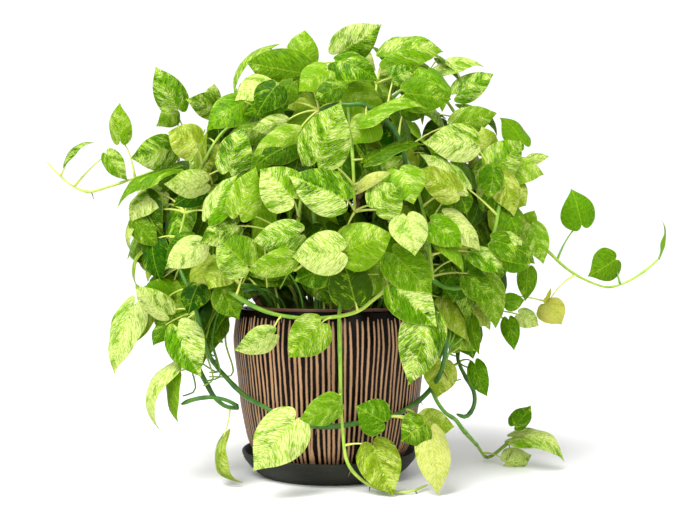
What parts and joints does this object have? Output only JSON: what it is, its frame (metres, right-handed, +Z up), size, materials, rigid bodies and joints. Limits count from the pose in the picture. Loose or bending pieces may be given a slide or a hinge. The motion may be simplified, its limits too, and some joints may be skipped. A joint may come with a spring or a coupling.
{
  "type": "potted pothos plant",
  "caption": "Bushy trailing pothos with marbled green and cream heart-shaped leaves, in a ceramic cache pot with upright dark and tan stripes, standing on a shallow dark saucer.",
  "frame": {"origin": "middle of the saucer's underside, on the surface that the plant stands on", "axes": "+Z up along the pot's axis; the plant's front, with the vine lying across the pot, faces -Y; the two long tendrils reach out along -X and +X"},
  "size_m": [0.823, 0.4503, 0.564],
  "materials": {
    "matt_stoneware": "matt dark grey-olive stoneware",
    "striped_glaze": "near-black glaze cut through to tan clay in wandering upright stripes",
    "brown_plastic": "satin brown moulded plastic",
    "potting_mix": "damp crumbly potting mix",
    "bent_cane": "peeled cane with rings at its nodes, slightly waxy",
    "green_stem": "fleshy green stem, satin",
    "marbled_leaf": "satin leaf, green marbled with cream",
    "cream_leaf": "satin leaf, mostly cream with green flecks",
    "lime_leaf": "satin leaf, lime green",
    "green_leaf": "satin leaf, plain green",
    "fading_leaf": "ageing leaf, olive to yellow"
  },
  "bodies": {
    "root": {"saucer": "matt_stoneware", "cache_pot": "striped_glaze", "grow_pot": "brown_plastic", "potting_soil": "potting_mix", "cane_hoop": "bent_cane", "straight_cane": "bent_cane", "vine_01": "green_stem", "vine_02": "green_stem", "vine_03": "green_stem", "vine_04": "green_stem", "vine_05": "green_stem", "vine_06": "green_stem", "vine_07": "green_stem", "vine_08": "green_stem", "vine_09": "green_stem", "vine_10": "green_stem", "vine_11": "green_stem", "vine_12": "green_stem", "vine_13": "green_stem", "vine_14": "green_stem", "vine_15": "green_stem", "vine_16": "green_stem", "vine_17": "green_stem", "vine_18": "green_stem", "vine_19": "green_stem", "vine_20": "green_stem", "vine_21": "green_stem", "vine_22": "green_stem", "leaf_01": "marbled_leaf", "leaf_02": "marbled_leaf", "leaf_03": "marbled_leaf", "leaf_04": "cream_leaf", "leaf_05": "lime_leaf", "leaf_06": "cream_leaf", "leaf_07": "marbled_leaf", "leaf_08": "marbled_leaf", "leaf_09": "marbled_leaf", "leaf_10": "cream_leaf", "leaf_11": "lime_leaf", "leaf_12": "lime_leaf", "leaf_13": "cream_leaf", "leaf_14": "marbled_leaf", "leaf_15": "fading_leaf", "leaf_16": "fading_leaf", "leaf_17": "green_leaf", "leaf_18": "green_leaf", "leaf_19": "marbled_leaf", "leaf_20": "lime_leaf", "leaf_21": "marbled_leaf", "leaf_22": "marbled_leaf", "leaf_23": "green_leaf", "leaf_24": "green_leaf", "leaf_25": "green_leaf", "leaf_26": "green_leaf", "leaf_27": "fading_leaf", "leaf_28": "cream_leaf", "leaf_29": "cream_leaf", "leaf_30": "fading_leaf", "leaf_31": "cream_leaf", "leaf_32": "lime_leaf"}
  },
  "joints": []
}
